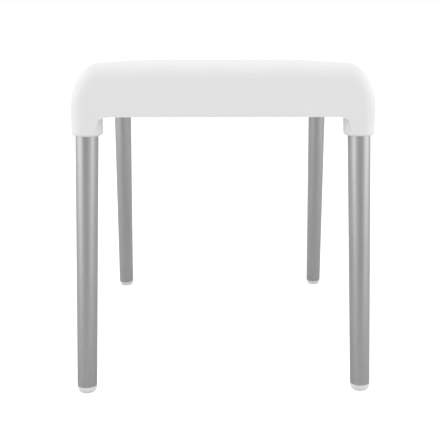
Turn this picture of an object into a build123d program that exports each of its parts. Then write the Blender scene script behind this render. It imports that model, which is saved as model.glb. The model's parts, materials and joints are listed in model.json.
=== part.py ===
"""Shower stool: a moulded plastic seat on four splayed aluminium legs.

Frame: +Z up, the front faces -Y, and +X is to the right of a person looking at the front.
The origin is on the floor, under the middle of the seat. All sizes are in millimetres.
"""

from build123d import *

import os
from math import atan, cos, degrees, radians, sin, tan

# ------------------------------------------------------------------ driving dimensions

# Seat, outside
SEAT_WIDTH = 400.0  # across the two side faces, X
SEAT_DEPTH = 400.0  # front face to back face, Y
SEAT_HEIGHT = 445.0  # floor to the middle of the top
CROWN_SLOPE = 0.4  # degrees at which the crowned top runs into the shoulders
SHOULDER_REACH = 41.5  # how far the side shoulders reach in over the top
SHOULDER_DROP = 62.0  # how far the side shoulders reach down the sides
EDGE_RADIUS = 20.0  # rounding of the arch edge round the front and back faces
APRON_DEPTH = 68.5  # middle of the top down to the lower edge of the aprons
RIM_DROP = 25.5  # lower edge of the aprons down to the mouths of the leg sockets
RIM_ROUNDING = 4.0  # rounding of the corners round the socket mouths

# Seat, walls, ribs and drain holes
SIDE_WALL = 3.5
TOP_WALL = 4.0
RIB_THICKNESS = 2.5
RIB_DEPTH = 12.0
RIB_SPACING = 45.0
RIB_COUNT = 7
DRAIN_DIAMETER = 8.0
DRAIN_MOUTH = 10.5  # countersunk diameter at the top

# Tongues: the apron's lower edge sweeps down over each corner socket
SWEEP_START = 56.0  # from the side face to where the straight edge begins to sweep
KNEE_REACH = 39.0  # from the side face to the bend of the sweep
KNEE_DROP = 3.3  # the bend lies this far under the apron's lower edge
KNEE_RADIUS = 5.0
TONGUE_REACH = 29.5  # from the side face to the end of the sweep, at the rim

# Leg sockets
OUTER_WALL = 4.7  # side, front or back face to the socket's bore, at its mouth
SPLAY_X = 11.0  # how far each foot stands further out than its socket
SPLAY_Y = 38.0
SOCKET_DEPTH = 48.0
SOCKET_WALL = 5.7
SOCKET_CLEARANCE = 0.1  # on the radius
STOP_LEDGE = 3.0  # step at the end of the socket that the tube butts against

# Leg tubes
TUBE_TOP_DIAMETER = 30.0
TUBE_FOOT_DIAMETER = 26.8
TUBE_WALL = 1.6

# Plug in the top of each tube, which the fixing screw bites into
PLUG_LENGTH = 34.0
PLUG_CLEARANCE = 0.1
PLUG_HOLLOW_DIAMETER = 12.0
PLUG_HOLLOW_DEPTH = 10.0

# Fixing screw and washer, across each socket from its inner side
SCREW_HEIGHT = 33.0  # along the leg, from the socket mouth
SCREW_DIAMETER = 4.8
SCREW_LENGTH = 24.0  # under the head
SCREW_POINT = 3.0
SCREW_TIP_DIAMETER = 2.0
SCREW_CLEARANCE = 0.15
HEAD_DIAMETER = 9.4
HEAD_HEIGHT = 3.2
HEAD_ROUNDING = 1.2
DRIVE_WIDTH = 1.2  # cross recess in the head
DRIVE_LENGTH = 5.0
DRIVE_DEPTH = 1.8
WASHER_DIAMETER = 11.0
WASHER_THICKNESS = 1.0
LANDING_DEPTH = 1.4  # flat cut into the round socket for the washer
LANDING_DIAMETER = 13.0

# Foot caps
FOOT_HEIGHT = 8.5  # what shows of a cap under its tube, along the leg
FOOT_SKIRT = 2.0  # straight part next to the tube
FOOT_INSET = 0.2  # cap's radius under the tube's
FOOT_DOME = 6.0  # radius of the dome's shoulder
FOOT_TREAD = 1.0  # how much of the dome is flattened where it meets the floor
STEM_LENGTH = 26.0
STEM_CLEARANCE = 0.15
STEM_GROOVE = 0.8
STEM_GROOVE_HEIGHT = 4.0
STEM_GROOVE_SPACING = 7.0
STEM_GROOVE_COUNT = 3
STEM_HOLLOW_DIAMETER = 14.0
STEM_HOLLOW_DEPTH = 18.0

CUT_MARGIN = 20.0  # how far a cutting solid runs past what it cuts
PICK_MARGIN = 0.1  # half the height of the band that picks out an edge by its level

# ------------------------------------------------------------------ worked out from them

HALF_WIDTH = SEAT_WIDTH / 2
HALF_DEPTH = SEAT_DEPTH / 2
APRON_HEIGHT = SEAT_HEIGHT - APRON_DEPTH
RIM_HEIGHT = APRON_HEIGHT - RIM_DROP
LEG_RUN = (SPLAY_X**2 + SPLAY_Y**2 + RIM_HEIGHT**2) ** 0.5  # socket mouth to the floor
TUBE_RUN = LEG_RUN - FOOT_HEIGHT  # socket mouth to the end of the tube
TUBE_TOP_RADIUS = TUBE_TOP_DIAMETER / 2
TUBE_FOOT_RADIUS = TUBE_FOOT_DIAMETER / 2
SOCKET_RADIUS = TUBE_TOP_RADIUS + SOCKET_CLEARANCE
LEG_INSET = SOCKET_RADIUS + OUTER_WALL
LEG_X = HALF_WIDTH - LEG_INSET
LEG_Y = HALF_DEPTH - LEG_INSET
BOSS_RADIUS = SOCKET_RADIUS + SOCKET_WALL
LANDING_RADIUS = BOSS_RADIUS - LANDING_DEPTH  # leg axis to the flat under the washer
SCREW_RADIUS = SCREW_DIAMETER / 2
DRAIN_COUNT = RIB_COUNT - 3  # one hole in each cell between the ribs, but for the outer cells

CORNERS = {
    "front_left": (-1, -1),
    "front_right": (1, -1),
    "rear_left": (-1, 1),
    "rear_right": (1, 1),
}


def arch_outline(side_inset, top_inset, bottom):
    """Front outline of the seat, inset from its sides and top, down to a given height.

    Each shoulder is a quarter ellipse that stops where its slope is the crown's, and the
    crown is one arc from shoulder to shoulder, so the outline has no corner.
    """
    reach = SHOULDER_REACH - side_inset
    drop = SHOULDER_DROP - top_inset
    half = HALF_WIDTH - side_inset
    middle = SEAT_HEIGHT - top_inset
    slope = radians(CROWN_SLOPE)
    stop = atan(reach / drop * tan(slope))
    crown_half = half - reach + reach * sin(stop)
    crown_radius = crown_half / sin(slope)
    crown_end = middle - crown_radius * (1 - cos(slope))
    centre_z = crown_end - drop * cos(stop)
    sweep = 90 - degrees(stop)
    with BuildSketch() as outline:
        with BuildLine():
            right = EllipticalCenterArc((half - reach, centre_z), reach, drop, arc_size=sweep)
            left = EllipticalCenterArc(
                (reach - half, centre_z), reach, drop, start_angle=180 - sweep, arc_size=sweep
            )
            ThreePointArc(right @ 1, (0, middle), left @ 0)
            Polyline(left @ 1, (-half, bottom), (half, bottom), right @ 0)
        make_face()
    return outline.sketch


def leg_frame(side_x, side_y):
    """Plane at a socket's mouth: z up along the leg, x towards the seat's middle."""
    mouth = Vector(side_x * LEG_X, side_y * LEG_Y, RIM_HEIGHT)
    axis = Vector(-side_x * SPLAY_X, -side_y * SPLAY_Y, RIM_HEIGHT).normalized()
    inward = Vector(-side_x, -side_y, 0)
    inward = (inward - axis * inward.dot(axis)).normalized()
    return Plane(origin=mouth, x_dir=inward, z_dir=axis)


def radial_plane(frame):
    """Plane through a leg's axis: x is the distance from the axis, y runs up the leg."""
    return Plane(origin=frame.origin, x_dir=frame.x_dir, z_dir=-frame.y_dir)


def leg_axis(frame):
    """A leg's own axis, for turned pieces."""
    return Axis(frame.origin, frame.z_dir)


def screw_plane(frame, radius):
    """Plane square to a leg's screw, at a distance from the leg's axis, facing inward."""
    origin = frame.origin + frame.z_dir * SCREW_HEIGHT + frame.x_dir * radius
    return Plane(origin=origin, x_dir=frame.y_dir, z_dir=frame.x_dir)


FRAMES = {name: leg_frame(*sides) for name, sides in CORNERS.items()}

# ------------------------------------------------------------------ seat


def below_apron(half, wall_run):
    """Solid under the apron's lower edge, between two tongues, along the sketch's normal."""
    start_x = half - SWEEP_START
    knee_x = half - KNEE_REACH
    tip_x = half - TONGUE_REACH
    knee_z = APRON_HEIGHT - KNEE_DROP
    floor_z = RIM_HEIGHT - CUT_MARGIN
    with BuildPart() as opening:
        with BuildSketch(Plane.XZ):
            with BuildLine():
                top = Line((-start_x, APRON_HEIGHT), (start_x, APRON_HEIGHT))
                right = TangentArc(top @ 1, (knee_x, knee_z), tangent=(1, 0))
                left = TangentArc(top @ 0, (-knee_x, knee_z), tangent=(-1, 0))
                Polyline(
                    right @ 1,
                    (tip_x, RIM_HEIGHT),
                    (tip_x, floor_z),
                    (-tip_x, floor_z),
                    (-tip_x, RIM_HEIGHT),
                    left @ 1,
                )
            make_face()
        extrude(amount=wall_run, both=True)
        knees = opening.edges().filter_by(Axis.Y)
        knees = knees.filter_by_position(Axis.Z, knee_z - PICK_MARGIN, knee_z + PICK_MARGIN)
        fillet(knees, KNEE_RADIUS)
    return opening.part


with BuildPart() as envelope:
    with BuildSketch(Plane.XZ):
        add(arch_outline(0, 0, RIM_HEIGHT))
    extrude(amount=HALF_DEPTH, both=True)
    faces_front_back = envelope.faces().filter_by(Axis.Y)
    floor_edges = envelope.edges().group_by(Axis.Z)[0]
    fillet(faces_front_back.edges() - floor_edges, EDGE_RADIUS)
    fillet(envelope.edges().group_by(Axis.Z)[0], RIM_ROUNDING)

with BuildPart() as cavity:
    with BuildSketch(Plane.XZ):
        add(arch_outline(SIDE_WALL, TOP_WALL, RIM_HEIGHT - CUT_MARGIN))
    extrude(amount=HALF_DEPTH - SIDE_WALL, both=True)
    faces_front_back = cavity.faces().filter_by(Axis.Y)
    floor_edges = cavity.edges().group_by(Axis.Z)[0]
    fillet(faces_front_back.edges() - floor_edges, EDGE_RADIUS - SIDE_WALL)

with BuildPart() as bosses:
    for frame in FRAMES.values():
        with BuildSketch(frame.offset(-CUT_MARGIN)):
            Circle(BOSS_RADIUS)
        extrude(amount=CUT_MARGIN + SEAT_HEIGHT - RIM_HEIGHT)
    split(bisect_by=Plane.XY.offset(RIM_HEIGHT), keep=Keep.TOP)
    fillet(bosses.edges().group_by(Axis.Z)[0], RIM_ROUNDING)

# What is hollow under the seat: all but the skin and the round sockets
with BuildPart() as hollow:
    add(cavity.part)
    add(below_apron(HALF_WIDTH, HALF_DEPTH + CUT_MARGIN))
    add(below_apron(HALF_DEPTH, HALF_WIDTH + CUT_MARGIN).rotate(Axis.Z, 90))
    add(bosses.part, mode=Mode.SUBTRACT)

with BuildPart() as reliefs:
    for frame in FRAMES.values():
        with BuildSketch(frame.offset(SOCKET_DEPTH)):
            Circle(SOCKET_RADIUS - STOP_LEDGE)
        extrude(amount=SEAT_HEIGHT - RIM_HEIGHT)
    add(cavity.part, mode=Mode.INTERSECT)

with BuildPart() as ribs:
    with BuildSketch(Plane.XY.offset(SEAT_HEIGHT - TOP_WALL - RIB_DEPTH)):
        with GridLocations(RIB_SPACING, 0, RIB_COUNT, 1):
            Rectangle(RIB_THICKNESS, SEAT_DEPTH)
        with GridLocations(0, RIB_SPACING, 1, RIB_COUNT):
            Rectangle(SEAT_WIDTH, RIB_THICKNESS)
    extrude(amount=RIB_DEPTH + TOP_WALL / 2)
    add(envelope.part, mode=Mode.INTERSECT)

with BuildPart() as seat_shell:
    add(envelope.part)
    add(hollow.part, mode=Mode.SUBTRACT)
    add(ribs.part)
    add(reliefs.part, mode=Mode.SUBTRACT)
    for frame in FRAMES.values():
        with BuildSketch(frame.offset(-CUT_MARGIN)):
            Circle(SOCKET_RADIUS)
        extrude(amount=CUT_MARGIN + SOCKET_DEPTH, mode=Mode.SUBTRACT)
        with BuildSketch(screw_plane(frame, LANDING_RADIUS)):
            Circle(LANDING_DIAMETER / 2)
        extrude(amount=CUT_MARGIN, mode=Mode.SUBTRACT)
        with BuildSketch(screw_plane(frame, 0)):
            Circle(SCREW_RADIUS + SCREW_CLEARANCE)
        extrude(amount=BOSS_RADIUS, mode=Mode.SUBTRACT)
    with Locations(Plane.XY.offset(SEAT_HEIGHT)):
        with GridLocations(RIB_SPACING, RIB_SPACING, DRAIN_COUNT, DRAIN_COUNT):
            CounterSinkHole(DRAIN_DIAMETER / 2, DRAIN_MOUTH / 2, depth=CUT_MARGIN)
seat_shell.part.label = "seat_shell"

# ------------------------------------------------------------------ legs


def make_tube(frame):
    """Tapered tube, straight in its socket, with a hole for the fixing screw."""
    with BuildPart() as tube:
        with BuildSketch(radial_plane(frame)):
            with BuildLine():
                Polyline(
                    (TUBE_TOP_RADIUS - TUBE_WALL, SOCKET_DEPTH),
                    (TUBE_TOP_RADIUS, SOCKET_DEPTH),
                    (TUBE_TOP_RADIUS, 0),
                    (TUBE_FOOT_RADIUS, -TUBE_RUN),
                    (TUBE_FOOT_RADIUS - TUBE_WALL, -TUBE_RUN),
                    (TUBE_TOP_RADIUS - TUBE_WALL, 0),
                    close=True,
                )
            make_face()
        revolve(axis=leg_axis(frame))
        with BuildSketch(screw_plane(frame, 0)):
            Circle(SCREW_RADIUS + SCREW_CLEARANCE)
        extrude(amount=TUBE_TOP_DIAMETER, mode=Mode.SUBTRACT)
    return tube.part


def make_plug(frame):
    """Solid plug in the top of the tube, drilled for the screw, hollow underneath."""
    bottom = SOCKET_DEPTH - PLUG_LENGTH
    with BuildPart() as plug:
        with BuildSketch(frame.offset(bottom)):
            Circle(TUBE_TOP_RADIUS - TUBE_WALL - PLUG_CLEARANCE)
        extrude(amount=PLUG_LENGTH)
        with BuildSketch(frame.offset(bottom)):
            Circle(PLUG_HOLLOW_DIAMETER / 2)
        extrude(amount=PLUG_HOLLOW_DEPTH, mode=Mode.SUBTRACT)
        tip = LANDING_RADIUS + WASHER_THICKNESS - SCREW_LENGTH
        with BuildSketch(screw_plane(frame, tip - SCREW_POINT)):
            Circle(SCREW_RADIUS + SCREW_CLEARANCE / 2)
        extrude(amount=BOSS_RADIUS + SCREW_LENGTH, mode=Mode.SUBTRACT)
    return plug.part


def make_screw(frame):
    """Pan-head screw with a cross recess and a blunt point, reaching for the leg's axis."""
    seat = LANDING_RADIUS + WASHER_THICKNESS
    with BuildPart() as screw:
        with BuildSketch(screw_plane(frame, seat - SCREW_LENGTH)):
            Circle(SCREW_RADIUS)
        extrude(amount=SCREW_LENGTH)
        point = screw.edges().filter_by(GeomType.CIRCLE).sort_by_distance(frame.origin)[0]
        chamfer(point, length=SCREW_POINT, length2=SCREW_RADIUS - SCREW_TIP_DIAMETER / 2)
        with BuildSketch(screw_plane(frame, seat)):
            Circle(HEAD_DIAMETER / 2)
        extrude(amount=HEAD_HEIGHT)
        crown = screw.faces().sort_by_distance(screw_plane(frame, seat + HEAD_HEIGHT).origin)[0]
        fillet(crown.edges(), HEAD_ROUNDING)
        with BuildSketch(screw_plane(frame, seat + HEAD_HEIGHT)):
            Rectangle(DRIVE_WIDTH, DRIVE_LENGTH)
            Rectangle(DRIVE_LENGTH, DRIVE_WIDTH)
        extrude(amount=-DRIVE_DEPTH, mode=Mode.SUBTRACT)
    return screw.part


def make_washer(frame):
    """Flat washer between the screw's head and the landing on the socket."""
    with BuildPart() as washer:
        with BuildSketch(screw_plane(frame, LANDING_RADIUS)):
            Circle(WASHER_DIAMETER / 2)
            Circle(SCREW_RADIUS + SCREW_CLEARANCE, mode=Mode.SUBTRACT)
        extrude(amount=WASHER_THICKNESS)
    return washer.part


def make_foot(frame):
    """Soft cap: a grooved stem up the tube and a dome, flat where it meets the floor."""
    stem_radius = TUBE_FOOT_RADIUS - TUBE_WALL - STEM_CLEARANCE
    dome_radius = TUBE_FOOT_RADIUS - FOOT_INSET
    stem_top = STEM_LENGTH - TUBE_RUN
    dome_bottom = -LEG_RUN - FOOT_TREAD
    with BuildPart() as foot:
        with BuildSketch(radial_plane(frame)):
            with BuildLine():
                outline = Polyline(
                    (0, stem_top),
                    (stem_radius, stem_top),
                    (stem_radius, -TUBE_RUN),
                    (dome_radius, -TUBE_RUN),
                    (dome_radius, -TUBE_RUN - FOOT_SKIRT),
                )
                shoulder = EllipticalCenterArc(
                    (dome_radius - FOOT_DOME, -TUBE_RUN - FOOT_SKIRT),
                    FOOT_DOME,
                    -TUBE_RUN - FOOT_SKIRT - dome_bottom,
                    start_angle=270,
                    arc_size=90,
                )
                Polyline(shoulder @ 0, (0, dome_bottom), outline @ 0)
            make_face()
        revolve(axis=leg_axis(frame))
        for step in range(STEM_GROOVE_COUNT):
            height = stem_top - (step + 0.5) * STEM_GROOVE_SPACING
            with BuildSketch(frame.offset(height - STEM_GROOVE_HEIGHT / 2)):
                Circle(stem_radius + STEM_CLEARANCE)
                Circle(stem_radius - STEM_GROOVE, mode=Mode.SUBTRACT)
            extrude(amount=STEM_GROOVE_HEIGHT, mode=Mode.SUBTRACT)
        with BuildSketch(frame.offset(stem_top)):
            Circle(STEM_HOLLOW_DIAMETER / 2)
        extrude(amount=-STEM_HOLLOW_DEPTH, mode=Mode.SUBTRACT)
        split(bisect_by=Plane.XY, keep=Keep.TOP)
    return foot.part


LEG_PIECES = {
    "leg": make_tube,
    "leg_plug": make_plug,
    "fixing_screw": make_screw,
    "screw_washer": make_washer,
    "foot_cap": make_foot,
}

# ------------------------------------------------------------------ written out

os.makedirs("parts", exist_ok=True)
export_step(seat_shell.part, "parts/seat_shell.step")
for corner, frame in FRAMES.items():
    for name, make in LEG_PIECES.items():
        piece = make(frame)
        piece.label = f"{corner}_{name}"
        export_step(piece, f"parts/{piece.label}.step")
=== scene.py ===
"""Looks of a shower stool: a white moulded seat on four satin aluminium legs with soft feet.

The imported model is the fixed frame. It gives every piece its place; this script adds the
finishes, the finely modelled soft feet, a pale floor, soft light and the camera. Metres, +Z up,
and the front of the stool faces -Y.
"""

import json
import logging
import math
from dataclasses import dataclass, field
from enum import Enum
from typing import Any, Sequence

import bpy
import numpy as np
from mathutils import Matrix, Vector


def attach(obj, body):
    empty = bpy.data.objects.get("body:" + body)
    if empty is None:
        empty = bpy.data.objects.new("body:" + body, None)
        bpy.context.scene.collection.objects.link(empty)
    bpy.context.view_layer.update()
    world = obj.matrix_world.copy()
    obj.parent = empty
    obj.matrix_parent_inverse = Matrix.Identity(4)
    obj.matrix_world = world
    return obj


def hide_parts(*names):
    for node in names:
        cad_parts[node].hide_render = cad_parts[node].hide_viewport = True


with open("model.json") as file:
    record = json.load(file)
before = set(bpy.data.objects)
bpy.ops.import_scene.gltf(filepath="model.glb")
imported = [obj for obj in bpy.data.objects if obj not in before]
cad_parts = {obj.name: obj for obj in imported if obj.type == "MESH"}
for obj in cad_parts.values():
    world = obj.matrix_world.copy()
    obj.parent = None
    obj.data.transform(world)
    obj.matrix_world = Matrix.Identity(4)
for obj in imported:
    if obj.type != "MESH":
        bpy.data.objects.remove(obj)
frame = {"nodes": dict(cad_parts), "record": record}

LOG = logging.getLogger("shower_stool")
MM = 0.001
MIDDLE = 0.5  # the middle of a pattern that runs from 0 to 1
MIX_LOW, MIX_HIGH, MIX_RESULT = 6, 7, 2  # the Mix node's sockets for colours

Colour = tuple[float, float, float, float]
Triple = tuple[float, float, float]
Range = tuple[float, float]
Socket = bpy.types.NodeSocket
Material = bpy.types.Material
Profile = tuple[np.ndarray, np.ndarray]


def grey(level: float, warmth: float = 0.0) -> Colour:
    """A near-neutral linear colour; warmth moves red up and blue down by that share."""
    return (level * (1 + warmth), level, level * (1 - warmth), 1.0)


WHITE = grey(1.0)
BLACK = grey(0.0)


# ------------------------------------------------------------------ shader maths


class Value:
    """A number that varies over a surface: a shader socket with Python's operators."""

    def __init__(self, graph: "Graph", socket: Socket) -> None:
        """Wraps the output socket of a node in the given graph."""
        self.graph = graph
        self.socket = socket

    def _math(self, operation: str, *operands: Any) -> "Value":
        """Adds one Math node.

        Args:
            operation: the Math node's operation.
            operands: its inputs in order, each a Value or a number.

        Returns:
            The node's result.
        """
        inputs = dict(enumerate(operands))
        node = self.graph.node("ShaderNodeMath", {"operation": operation}, inputs)
        return Value(self.graph, node.outputs[0])

    def __add__(self, other: Any) -> "Value":
        """Sum."""
        return self._math("ADD", self, other)

    __radd__ = __add__

    def __sub__(self, other: Any) -> "Value":
        """Difference."""
        return self._math("SUBTRACT", self, other)

    def __rsub__(self, other: Any) -> "Value":
        """Difference, with this value on the right."""
        return self._math("SUBTRACT", other, self)

    def __mul__(self, other: Any) -> "Value":
        """Product."""
        return self._math("MULTIPLY", self, other)

    __rmul__ = __mul__

    def __truediv__(self, other: Any) -> "Value":
        """Quotient."""
        return self._math("DIVIDE", self, other)

    def swing(self, amount: float) -> "Value":
        """This pattern's distance from its middle, times an amount."""
        return (self - MIDDLE) * amount

    def clamped(self) -> "Value":
        """This value kept between 0 and 1."""
        return self._math("MINIMUM", self._math("MAXIMUM", self, 0.0), 1.0)

    def step(self, low: float, high: float) -> "Value":
        """A smooth rise from 0 at low to 1 at high; it falls where low is above high.

        Args:
            low: where the result is 0.
            high: where the result is 1.

        Returns:
            t * t * (3 - 2 t), with t the clamped place between low and high.
        """
        place = ((self - low) / (high - low)).clamped()
        return place * place * (3.0 - 2.0 * place)


class Graph:
    """A node tree, with short ways to add its nodes."""

    def __init__(self, tree: bpy.types.NodeTree) -> None:
        """Empties the tree, which belongs to a material or to the world."""
        self.tree = tree
        self.tree.nodes.clear()

    def plug(self, socket: Socket, value: Any) -> None:
        """Links something to an input socket, or sets a constant on it.

        Args:
            socket: the input socket.
            value: a Value or a socket to link, or else a number or a tuple to set.
        """
        if isinstance(value, Value):
            value = value.socket
        if isinstance(value, Socket):
            self.tree.links.new(value, socket)
        else:
            socket.default_value = value

    def node(self, kind: str, settings: dict[str, Any], inputs: dict[Any, Any]) -> bpy.types.Node:
        """Adds one node.

        Args:
            kind: the node's type.
            settings: properties, which are set first.
            inputs: input name or index to a number, a tuple, a socket or a Value.

        Returns:
            The new node.
        """
        node = self.tree.nodes.new(kind)
        for key, value in settings.items():
            setattr(node, key, value)
        for key, value in inputs.items():
            self.plug(node.inputs[key], value)
        return node

    def axis(self, vector: Socket, letter: str) -> Value:
        """One component of a vector socket."""
        return Value(self, self.node("ShaderNodeSeparateXYZ", {}, {0: vector}).outputs[letter])

    def seen(self) -> Value:
        """1 for what the camera sees directly, 0 for light on its way to something else."""
        return Value(self, self.node("ShaderNodeLightPath", {}, {}).outputs["Is Camera Ray"])

    def blend(self, mask: Value, low: Colour, high: Colour) -> Socket:
        """A colour that goes from low to high as the mask goes from 0 to 1."""
        inputs = {"Factor": mask, MIX_LOW: low, MIX_HIGH: high}
        return self.node("ShaderNodeMix", {"data_type": "RGBA"}, inputs).outputs[MIX_RESULT]


@dataclass(frozen=True)
class Pattern:
    """A noise pattern, and how far it moves the tint, the roughness and the relief."""

    size: float  # across its largest features, in metres
    detail: float = 2.0  # finer layers
    finer: float = 0.5  # strength of each finer layer
    stretch: Triple = (1.0, 1.0, 1.0)  # a small factor draws the pattern out along that axis
    tint: float = 0.0
    roughness: float = 0.0
    relief: float = 0.0


@dataclass(frozen=True)
class Relief:
    """How much of a finish's relief shows: the depth that 1 stands for, and its strength."""

    depth: float
    strength: float


@dataclass(frozen=True)
class Depth:
    """How light goes into a plastic."""

    ior: float
    share: float  # of the light that goes in
    reach: Triple  # of red, green and blue, on the scale
    scale: float  # in metres


class Surface(Graph):
    """The node tree of one material: a Principled shader and what varies over it."""

    def __init__(self, name: str) -> None:
        """Makes a material whose Principled shader stands ready to be fed.

        Args:
            name: the material's name.
        """
        self.material = bpy.data.materials.new(name)
        self.material.use_nodes = True
        super().__init__(self.material.node_tree)
        self.shader = self.node("ShaderNodeBsdfPrincipled", {}, {})
        self.node("ShaderNodeOutputMaterial", {}, {"Surface": self.shader.outputs[0]})
        self.place = self.node("ShaderNodeTexCoord", {}, {}).outputs["Object"]

    def feed(self, **inputs: Any) -> None:
        """Sets or links sockets of the Principled shader; underscores stand for spaces."""
        for key, value in inputs.items():
            self.plug(self.shader.inputs[key.replace("_", " ")], value)

    def mapped(self, stretch: Triple, turn: Triple = (0.0, 0.0, 0.0)) -> Socket:
        """Object coordinates, turned and then stretched along each axis.

        Args:
            stretch: factors on the turned coordinates.
            turn: Euler angles that bring the pattern's grain onto +Z.

        Returns:
            The vector socket.
        """
        kind, settings = "ShaderNodeMapping", {"vector_type": "POINT"}
        turned = self.node(kind, settings, {"Vector": self.place, "Rotation": turn})
        inputs = {"Vector": turned.outputs[0], "Scale": stretch}
        return self.node(kind, settings, inputs).outputs[0]

    def noise(self, pattern: Pattern, turn: Triple = (0.0, 0.0, 0.0)) -> Value:
        """Fractal noise around the middle.

        Args:
            pattern: its size, layers and stretch.
            turn: Euler angles that bring the pattern's grain onto +Z.

        Returns:
            The noise, from 0 to 1.
        """
        inputs = {
            "Vector": self.mapped(pattern.stretch, turn),
            "Scale": 1.0 / pattern.size,
            "Detail": pattern.detail,
            "Roughness": pattern.finer,
        }
        return Value(self, self.node("ShaderNodeTexNoise", {}, inputs).outputs["Fac"])

    def cells(self, size: float) -> Value:
        """Distance to the nearest of scattered points size metres apart, as a share of size."""
        inputs = {"Vector": self.place, "Scale": 1.0 / size}
        return Value(self, self.node("ShaderNodeTexVoronoi", {}, inputs).outputs["Distance"])

    def height(self) -> Value:
        """Height above the floor, in metres."""
        return self.axis(self.place, "Z")

    def relief(self, height: Value, relief: Relief) -> Socket:
        """A bumped normal.

        Args:
            height: relief from 0 to 1.
            relief: its depth and strength.

        Returns:
            The normal socket.
        """
        inputs = {"Height": height, "Distance": relief.depth, "Strength": relief.strength}
        return self.node("ShaderNodeBump", {}, inputs).outputs[0]

    def let_in(self, depth: Depth) -> None:
        """Lets light a little way into the surface.

        Args:
            depth: how far it goes in and how it bends.
        """
        self.feed(
            IOR=depth.ior,
            Subsurface_Weight=depth.share,
            Subsurface_Radius=depth.reach,
            Subsurface_Scale=depth.scale,
        )


# ------------------------------------------------------------------ finishes


@dataclass(frozen=True)
class SeatPlastic:
    """Satin white moulded plastic with a fine grain and a seat rubbed slightly smoother."""

    dark: Colour = grey(0.897, warmth=0.004)
    light: Colour = grey(0.92)
    roughness: float = 0.40
    shine: float = 0.35
    grain: Pattern = Pattern(1.1 * MM, detail=3.0, finer=0.6, tint=0.6, roughness=0.16, relief=0.7)
    flow: Pattern = Pattern(60 * MM, detail=3.0, tint=0.8, roughness=0.10)
    scuffs: Pattern = Pattern(1.6 * MM, stretch=(1.0, 0.06, 1.0), roughness=0.10, relief=0.2)
    speckle_size: float = 2.64 * MM
    speckle_relief: float = 0.3
    scuff_lines: Range = (0.66, 0.74)
    scuff_patches: Range = (0.45, 0.6)
    rubbed_heights: Range = (439 * MM, 444 * MM)  # just below the top of the seat
    rubbed_patches: Range = (0.35, 0.65)
    rubbed_gloss: float = 0.05
    relief: Relief = Relief(depth=0.22 * MM, strength=0.9)
    depth: Depth = Depth(ior=1.49, share=0.10, reach=(1.0, 0.95, 0.9), scale=2.5 * MM)

    def material(self) -> Material:
        """Builds the finish.

        Returns:
            The seat's material.
        """
        graph = Surface("seat_white_plastic")
        grain, flow = graph.noise(self.grain), graph.noise(self.flow)
        on_top = graph.height().step(*self.rubbed_heights)
        rubbed = on_top * flow.step(*self.rubbed_patches)
        scuffs = graph.noise(self.scuffs).step(*self.scuff_lines)
        scratched = on_top * scuffs * flow.step(*self.scuff_patches)
        tint = flow.swing(self.flow.tint) + grain.swing(self.grain.tint) + MIDDLE
        roughness = self.roughness + grain.swing(self.grain.roughness)
        roughness += flow.swing(self.flow.roughness)
        roughness += scratched * self.scuffs.roughness - rubbed * self.rubbed_gloss
        height = grain * self.grain.relief + graph.cells(self.speckle_size) * self.speckle_relief
        height -= scratched * self.scuffs.relief
        graph.feed(
            Base_Color=graph.blend(tint.clamped(), self.dark, self.light),
            Roughness=roughness,
            Normal=graph.relief(height, self.relief),
            Specular_IOR_Level=self.shine,
        )
        graph.let_in(self.depth)
        return graph.material


@dataclass(frozen=True)
class AnodisedAluminium:
    """Satin anodised tube with faint draw lines along it and light scuffs near the foot."""

    dark: Colour = grey(0.43165, warmth=0.002)
    light: Colour = grey(0.52865)
    roughness: float = 0.36
    lines: Pattern = Pattern(
        0.45 * MM, finer=0.7, stretch=(1.0, 1.0, 0.012), tint=1.4, roughness=0.16, relief=0.7
    )
    bands: Pattern = Pattern(6 * MM, stretch=(1.0, 1.0, 0.03), tint=0.9)
    cloud: Pattern = Pattern(
        45 * MM, detail=3.0, stretch=(1.0, 1.0, 0.4), tint=0.6, roughness=0.08
    )
    frost: Pattern = Pattern(0.5 * MM, relief=0.3)
    nicks: Pattern = Pattern(
        1.3 * MM, detail=3.0, stretch=(1.0, 1.0, 0.25), roughness=0.10, relief=0.5
    )
    nick_spots: Range = (0.64, 0.72)
    worn_heights: Range = (70 * MM, 12 * MM)  # more towards the foot
    worn_patches: Range = (0.40, 0.62)
    relief: Relief = Relief(depth=0.06 * MM, strength=0.5)

    def material(self, name: str, direction: Vector) -> Material:
        """Builds the finish.

        Args:
            name: the material's name.
            direction: the tube's axis, which the draw lines follow.

        Returns:
            The material.
        """
        graph = Surface(name)
        turn = tuple(direction.rotation_difference(Vector((0, 0, 1))).to_euler())
        lines, bands = graph.noise(self.lines, turn), graph.noise(self.bands, turn)
        cloud, frost = graph.noise(self.cloud), graph.noise(self.frost)
        nicks = graph.noise(self.nicks).step(*self.nick_spots)
        low = graph.height().step(*self.worn_heights)
        worn = low * nicks * cloud.step(*self.worn_patches)
        tint = lines.swing(self.lines.tint) + bands.swing(self.bands.tint)
        tint += cloud.swing(self.cloud.tint) + MIDDLE
        roughness = self.roughness + lines.swing(self.lines.roughness)
        roughness += cloud.swing(self.cloud.roughness) - worn * self.nicks.roughness
        height = lines * self.lines.relief + frost * self.frost.relief
        height -= worn * self.nicks.relief
        graph.feed(
            Base_Color=graph.blend(tint.clamped(), self.dark, self.light),
            Metallic=1.0,
            Roughness=roughness,
            Normal=graph.relief(height, self.relief),
        )
        return graph.material


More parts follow.
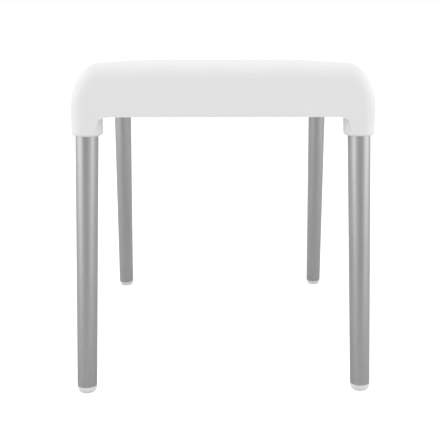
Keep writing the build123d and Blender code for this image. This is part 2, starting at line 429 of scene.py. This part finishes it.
@dataclass(frozen=True)
class FootElastomer:
    """Milky soft plastic, matt, a little translucent, greyer where it treads the floor."""

    clean: Colour = grey(0.88, warmth=0.004)
    soiled: Colour = grey(0.7568, warmth=0.015)
    roughness: float = 0.48
    grain: Pattern = Pattern(0.6 * MM, detail=3.0, roughness=0.12)
    cloud: Pattern = Pattern(9 * MM, tint=0.5)
    tread_heights: Range = (2.2 * MM, 0.2 * MM)  # more towards the floor
    tread_tint: float = 0.35
    tread_roughness: float = 0.10
    relief: Relief = Relief(depth=0.08 * MM, strength=0.5)
    depth: Depth = Depth(ior=1.46, share=0.35, reach=(1.0, 0.95, 0.88), scale=4 * MM)

    def material(self) -> Material:
        """Builds the finish.

        Returns:
            The feet's material.
        """
        graph = Surface("foot_milky_elastomer")
        grain, cloud = graph.noise(self.grain), graph.noise(self.cloud)
        tread = graph.height().step(*self.tread_heights)
        soiled = (tread * (self.tread_tint + cloud * self.cloud.tint)).clamped()
        roughness = self.roughness + grain.swing(self.grain.roughness)
        graph.feed(
            Base_Color=graph.blend(soiled, self.clean, self.soiled),
            Roughness=roughness + tread * self.tread_roughness,
            Normal=graph.relief(grain, self.relief),
        )
        graph.let_in(self.depth)
        return graph.material


@dataclass(frozen=True)
class TurnedStock:
    """A plain finish with fine marks and a cloudy tint, as turned or moulded stock has."""

    name: str
    dark: Colour
    light: Colour
    roughness: float
    metallic: float
    marks: Pattern
    cloud: Pattern
    relief: Relief

    def material(self) -> Material:
        """Builds the finish.

        Returns:
            The material.
        """
        graph = Surface(self.name)
        marks = graph.noise(self.marks)
        graph.feed(
            Base_Color=graph.blend(graph.noise(self.cloud), self.dark, self.light),
            Metallic=self.metallic,
            Roughness=self.roughness + marks.swing(self.marks.roughness),
            Normal=graph.relief(marks, self.relief),
        )
        return graph.material


PLUG_NYLON = TurnedStock(
    name="plug_natural_nylon",
    dark=grey(0.6204, warmth=0.03),
    light=grey(0.66, warmth=0.02),
    roughness=0.50,
    metallic=0.0,
    marks=Pattern(0.8 * MM, detail=1.0, stretch=(0.05, 0.05, 1.0), roughness=0.15),
    cloud=Pattern(12 * MM),
    relief=Relief(depth=0.06 * MM, strength=0.4),
)
SCREW_STEEL = TurnedStock(
    name="screw_stainless_steel",
    dark=grey(0.522, warmth=0.01),
    light=grey(0.58),
    roughness=0.28,
    metallic=1.0,
    marks=Pattern(0.25 * MM, detail=3.0, roughness=0.2),
    cloud=Pattern(3 * MM),
    relief=Relief(depth=0.02 * MM, strength=0.4),
)


@dataclass(frozen=True)
class FloorFinish:
    """Plain pale studio floor."""

    tone: Colour = grey(0.68)
    roughness: float = 0.8
    shine: float = 0.1
    glow: float = 0.60

    def material(self) -> Material:
        """Builds the finish; the glow is only for the camera, so the feet see a matt floor.

        Returns:
            The floor's material.
        """
        graph = Surface("pale_floor")
        graph.feed(
            Base_Color=self.tone,
            Roughness=self.roughness,
            Specular_IOR_Level=self.shine,
            Emission_Color=graph.blend(graph.seen(), BLACK, WHITE),
            Emission_Strength=self.glow,
        )
        return graph.material


@dataclass
class Finishes:
    """The materials that several pieces share."""

    plastic: Material = field(default_factory=lambda: SeatPlastic().material())
    elastomer: Material = field(default_factory=lambda: FootElastomer().material())
    nylon: Material = field(default_factory=PLUG_NYLON.material)
    steel: Material = field(default_factory=SCREW_STEEL.material)


# ------------------------------------------------------------------ surfaces


def ripple(count: int, place: np.ndarray) -> np.ndarray:
    """Waves from 0 to 1 and back, 0.5 - 0.5 cos(2 pi count place), count of them up to place 1."""
    return 0.5 - 0.5 * np.cos(2 * math.pi * count * place)


def surface(name: str, grid: np.ndarray, sharp_degrees: float = 40.0) -> bpy.types.Object:
    """Makes an object from a grid of points that closes round its second direction.

    The first and the last row are single points (poles), given as full rows of equal points.
    Faces join point (i, j) to (i + 1, j), (i + 1, j + 1) and (i, j + 1), with j counted
    round; at the poles they are triangles.

    Args:
        name: the object's name.
        grid: points, shaped rows x columns x 3, in metres.
        sharp_degrees: edges that turn by more than this stay sharp.

    Returns:
        The linked object, smooth-shaded, with its faces pointing outwards.
    """
    rows, columns = grid.shape[:2]
    body = grid[1:-1].reshape(-1, 3)
    points = np.vstack([grid[0, :1], body, grid[-1, :1]])
    index = 1 + np.arange((rows - 2) * columns).reshape(rows - 2, columns)
    after = np.roll(index, -1, axis=1)
    quads = np.stack([index[:-1], index[1:], after[1:], after[:-1]], axis=-1).reshape(-1, 4)
    last = len(points) - 1
    start = np.stack([np.zeros(columns, int), index[0], after[0]], axis=-1)
    end = np.stack([np.full(columns, last), after[-1], index[-1]], axis=-1)
    mesh = bpy.data.meshes.new(name)
    mesh.from_pydata(points.tolist(), [], quads.tolist() + start.tolist() + end.tolist())
    mesh.validate()
    mesh.shade_smooth()
    mesh.set_sharp_from_angle(angle=math.radians(sharp_degrees))
    return shown(name, mesh)


def shown(name: str, data: Any) -> bpy.types.Object:
    """Links a new object that shows a mesh, a lamp or a camera.

    Args:
        name: the object's name.
        data: what it shows.

    Returns:
        The object.
    """
    piece = bpy.data.objects.new(name, data)
    bpy.context.scene.collection.objects.link(piece)
    return piece


def dress(piece: bpy.types.Object, material: Material) -> None:
    """Gives a piece one material in place of what it has."""
    piece.data.materials.clear()
    piece.data.materials.append(material)


# ------------------------------------------------------------------ the stool


class Corner(Enum):
    """The four corners, each with its side along X and along Y."""

    FRONT_LEFT = (-1, -1)
    FRONT_RIGHT = (1, -1)
    REAR_LEFT = (-1, 1)
    REAR_RIGHT = (1, 1)

    @property
    def label(self) -> str:
        """The corner's name as the nodes write it."""
        return self.name.lower()


@dataclass
class Leg:
    """One leg: tube, plug, screw, washer and foot, on an axis from its foot to its socket."""

    corner: Corner
    splay_x: float = 11 * MM  # how far the foot stands out from its socket, to the side
    splay_y: float = 38 * MM  # and to the front or back
    socket_height: float = 351 * MM  # over which it does
    foot_height: float = 8.5 * MM  # where the cap meets the tube
    skirt: float = 2.0 * MM  # the cap's straight wall, collar included
    lip: float = 0.35 * MM  # rounding of the collar
    lip_curve: Triple = (1.0, 0.3, 0.0)  # shares of the lip, from its start to its end
    cap_radius: float = 13.2 * MM
    dome: float = 6.0 * MM  # how far the cap narrows down to its sole
    dome_rows: int = 28
    sole_rows: int = 40
    tread_depth: float = 1.0 * MM  # how far the dome is pressed flat
    tread_rings: int = 3
    ring_depth: float = 0.45 * MM
    stem_radius: float = 11.65 * MM
    stem_length: float = 26 * MM
    stem_rows: int = 60
    stem_gap: float = 0.2 * MM  # between the stem's wall and the cap
    rim_bevel: float = 0.6 * MM
    hollow_radius: float = 7 * MM
    hollow_depth: float = 18 * MM
    hollow_bevel: float = 1 * MM
    barb_count: int = 3
    barb_depth: float = 0.8 * MM
    barb_fullness: float = 0.6
    columns: int = 96
    foot_point: Vector = field(init=False)
    up: Vector = field(init=False)

    def __post_init__(self) -> None:
        """Finds where the leg stands and which way it points."""
        mounts = {m["name"]: m for m in frame["record"]["mounts"]}
        self.foot_point = Vector(mounts[f"floor_{self.corner.label}"]["pos_m"])
        side_x, side_y = self.corner.value
        lean = Vector((-side_x * self.splay_x, -side_y * self.splay_y, self.socket_height))
        self.up = lean.normalized()

    def node(self, kind: str) -> bpy.types.Object:
        """The leg's own node of that kind."""
        return frame["nodes"][f"{self.corner.label}_{kind}"]

    def turned(self, profile: Profile) -> np.ndarray:
        """Carries a profile round the leg's axis.

        A point is foot + height * up + radius * (cos a * across + sin a * onward), where up,
        across and onward are square to each other.

        Args:
            profile: distances from the axis, and distances along it from the floor.

        Returns:
            A grid of rows x columns x 3.
        """
        radii, heights = profile
        up = np.array(self.up)
        across = np.cross((0.0, 1.0, 0.0), up)
        across /= np.linalg.norm(across)
        onward = np.cross(up, across)
        angle = np.linspace(0, 2 * math.pi, self.columns, endpoint=False)
        ring = np.cos(angle)[:, None] * across + np.sin(angle)[:, None] * onward
        spine = np.array(self.foot_point) + heights[:, None] * up
        return spine[:, None, :] + radii[:, None, None] * ring[None]

    def stem_profile(self) -> Profile:
        """The stem's profile, from the bottom of its hollow over its rim down to the cap.

        Returns:
            Radii and heights. The outer wall is r = stem - barb * ripple ^ fullness from the
            top of the stem to its end, which gives a rounded groove for each wave.
        """
        end = self.foot_height
        top = end + self.stem_length
        below = top - self.rim_bevel
        inner, bevel = self.hollow_radius, self.hollow_bevel
        down = np.linspace(0, 1, self.stem_rows)
        grooves = ripple(self.barb_count, down) ** self.barb_fullness
        wall_r = self.stem_radius - self.barb_depth * grooves
        wall_h = np.linspace(below, end + self.stem_gap, self.stem_rows)
        floor_h = top - self.hollow_depth + np.array([0.0, 0.0, bevel])
        rim_r = [inner, inner + self.rim_bevel, self.stem_radius - self.rim_bevel]
        radii = np.concatenate([[0.0, inner - bevel, inner], rim_r, wall_r])
        heights = np.concatenate([floor_h, [below, top, top], wall_h])
        return radii, heights

    def cap_profile(self) -> Profile:
        """The cap's profile, from its collar under the tube down to the middle of its sole.

        Returns:
            Radii and heights. The shoulder is a quarter ellipse: r = cap - dome * (1 - cos t)
            and h = skirt's end - drop * sin t, for t from 0 to a right angle.
        """
        end = self.foot_height
        collar = self.lip * np.array(self.lip_curve)
        drop = end - self.skirt + self.tread_depth
        turn = np.linspace(0, math.pi / 2, self.dome_rows)
        dome_r = self.cap_radius - self.dome * (1 - np.cos(turn))
        dome_h = end - self.skirt - drop * np.sin(turn)
        sole_r = np.linspace(self.cap_radius - self.dome, 0, self.sole_rows)[1:]
        sole_h = np.full_like(sole_r, -self.tread_depth)
        radii = np.concatenate([self.cap_radius - collar, dome_r, sole_r])
        heights = np.concatenate([end - collar[::-1], dome_h, sole_h])
        return radii, heights

    def pressed(self, grid: np.ndarray) -> np.ndarray:
        """Presses the foot flat on the floor and gives its sole shallow rings.

        A point below the floor rises to z = depth * ripple ^ 2 inside the sole's radius, with
        the waves running outwards from its middle, and to z = 0 outside it.

        Args:
            grid: the foot's points.

        Returns:
            The points with none below the floor.
        """
        away = np.linalg.norm(grid[..., :2] - np.array(self.foot_point)[:2], axis=-1)
        tread = self.cap_radius - self.dome
        wave = ripple(self.tread_rings, away / tread)
        rings = np.where(away < tread, self.ring_depth * wave**2, 0.0)
        flat = grid.copy()
        flat[..., 2] = np.where(grid[..., 2] < 0, rings, grid[..., 2])
        return flat

    def make_foot(self, finish: Material) -> bpy.types.Object:
        """Models the soft foot: grooved hollow stem, collar, dome and ringed sole.

        Args:
            finish: its material.

        Returns:
            The piece, which stands for the foot's CAD node.
        """
        rows = zip(self.stem_profile(), self.cap_profile())
        radii, heights = (np.concatenate(pair) for pair in rows)
        grid = self.pressed(self.turned((radii, heights)))
        piece = surface(f"{self.corner.label}_soft_foot", grid)
        dress(piece, finish)
        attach(piece, "root")
        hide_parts(f"{self.corner.label}_foot_cap")
        return piece

    def build(self, finishes: Finishes) -> list[bpy.types.Object]:
        """Dresses the leg's nodes and models its foot.

        Args:
            finishes: the stool's materials.

        Returns:
            Every shown piece of the leg.
        """
        tube, plug = self.node("leg"), self.node("leg_plug")
        screw, washer = self.node("fixing_screw"), self.node("screw_washer")
        dress(tube, AnodisedAluminium().material(f"{self.corner.label}_anodised", self.up))
        dress(plug, finishes.nylon)
        dress(screw, finishes.steel)
        dress(washer, finishes.steel)
        return [tube, plug, screw, washer, self.make_foot(finishes.elastomer)]


@dataclass
class Seat:
    """The moulded seat with its aprons, shoulders and corner sockets."""

    node_name: str = "seat_shell"

    def build(self, finishes: Finishes) -> list[bpy.types.Object]:
        """Dresses the moulding.

        Args:
            finishes: the stool's materials.

        Returns:
            The moulding, which is the seat's only piece.
        """
        shell = frame["nodes"][self.node_name]
        dress(shell, finishes.plastic)
        return [shell]


# ------------------------------------------------------------------ studio


@dataclass(frozen=True)
class Softbox:
    """A large soft lamp aimed at a point."""

    name: str
    place: Triple
    size: Range
    power: float
    aim: Triple = (0.0, 0.0, 0.3)

    def build(self) -> None:
        """Makes the lamp."""
        lamp = bpy.data.lights.new(self.name, "AREA")
        lamp.shape = "RECTANGLE"
        lamp.size, lamp.size_y = self.size
        lamp.energy = self.power
        piece = shown(self.name, lamp)
        piece.location = self.place
        way = Vector(self.aim) - Vector(self.place)
        piece.rotation_euler = way.to_track_quat("-Z", "Y").to_euler()


@dataclass
class Studio:
    """Pale floor, even surroundings, soft lamps and the camera."""

    floor_reach: float = 60.0
    floor_front: float = 0.60
    backdrop: float = 1.0
    light_front: float = 0.55
    light_back: float = 0.88
    light_side: float = 1.31
    light_top: float = 0.74
    light_low: float = 0.80
    light_change: Range = (-0.02, 0.02)  # where the light of one wall gives way to the next
    softboxes: tuple[Softbox, ...] = (
        Softbox("left_softbox", place=(-2.4, -0.6, 1.2), size=(3.2, 2.0), power=13.0),
        Softbox("right_softbox", place=(2.4, -0.6, 1.2), size=(3.2, 2.0), power=12.0),
        Softbox("top_softbox", place=(0.0, 0.3, 2.4), size=(2.4, 2.4), power=3.0),
    )
    camera_place: Triple = (-0.01576, -1.0449, 0.4565)
    camera_pitch: float = 14.67  # degrees below level
    camera_turn: float = -1.04  # degrees from looking along +Y
    focal_length: float = 52.48  # in millimetres
    sensor_width: float = 36.0  # in millimetres
    nearest: float = 0.01

    def make_floor(self) -> None:
        """Lays the floor under the feet; it ends in front of the stool, out of view."""
        far, near = self.floor_reach, -self.floor_front
        corners = [(-far, near, 0), (far, near, 0), (far, far, 0), (-far, far, 0)]
        mesh = bpy.data.meshes.new("floor")
        mesh.from_pydata(corners, [], [(0, 1, 2, 3)])
        floor = shown("floor", mesh)
        dress(floor, FloorFinish().material())

    def make_surroundings(self) -> None:
        """Sets the light that comes from all round, as a studio of six soft walls gives it.

        The light from a direction (x, y, z) of length 1 is side x^2 + top z^2 above or low z^2
        below + back y^2 behind or front y^2 in front. The camera itself sees plain white.
        """
        world = bpy.data.worlds.new("surroundings")
        bpy.context.scene.world = world
        world.use_nodes = True
        graph = Graph(world.node_tree)
        way = graph.node("ShaderNodeTexCoord", {}, {}).outputs["Generated"]
        x, y, z = (graph.axis(way, letter) for letter in "XYZ")
        onward, upward = y.step(*self.light_change), z.step(*self.light_change)
        light = (
            x * x * self.light_side
            + y * y * (self.light_front + onward * (self.light_back - self.light_front))
            + z * z * (self.light_low + upward * (self.light_top - self.light_low))
        )
        strength = light + graph.seen() * (self.backdrop - light)
        shade = graph.node("ShaderNodeBackground", {}, {"Color": WHITE, "Strength": strength})
        graph.node("ShaderNodeOutputWorld", {}, {"Surface": shade.outputs[0]})

    def make_camera(self) -> None:
        """Places the camera."""
        lens = bpy.data.cameras.new("camera")
        lens.sensor_width = self.sensor_width
        lens.lens = self.focal_length
        lens.clip_start = self.nearest
        camera = shown("camera", lens)
        camera.location = self.camera_place
        tilt, turn = math.radians(90 - self.camera_pitch), math.radians(self.camera_turn)
        camera.rotation_euler = (tilt, 0.0, turn)
        bpy.context.scene.camera = camera

    def build(self) -> None:
        """Sets up the whole studio."""
        self.make_camera()
        self.make_floor()
        self.make_surroundings()
        for softbox in self.softboxes:
            softbox.build()
        bpy.context.scene.view_settings.view_transform = "Standard"


def main() -> None:
    logging.basicConfig(level=logging.INFO, format="%(name)s: %(message)s")
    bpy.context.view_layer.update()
    Studio().build()
    finishes = Finishes()
    assemblies: list[Seat | Leg] = [Seat(), *(Leg(corner) for corner in Corner)]
    for assembly in assemblies:
        for piece in assembly.build(finishes):
            LOG.info("%s: %d faces", piece.name, len(piece.data.polygons))


if __name__ == "__main__":
    main()
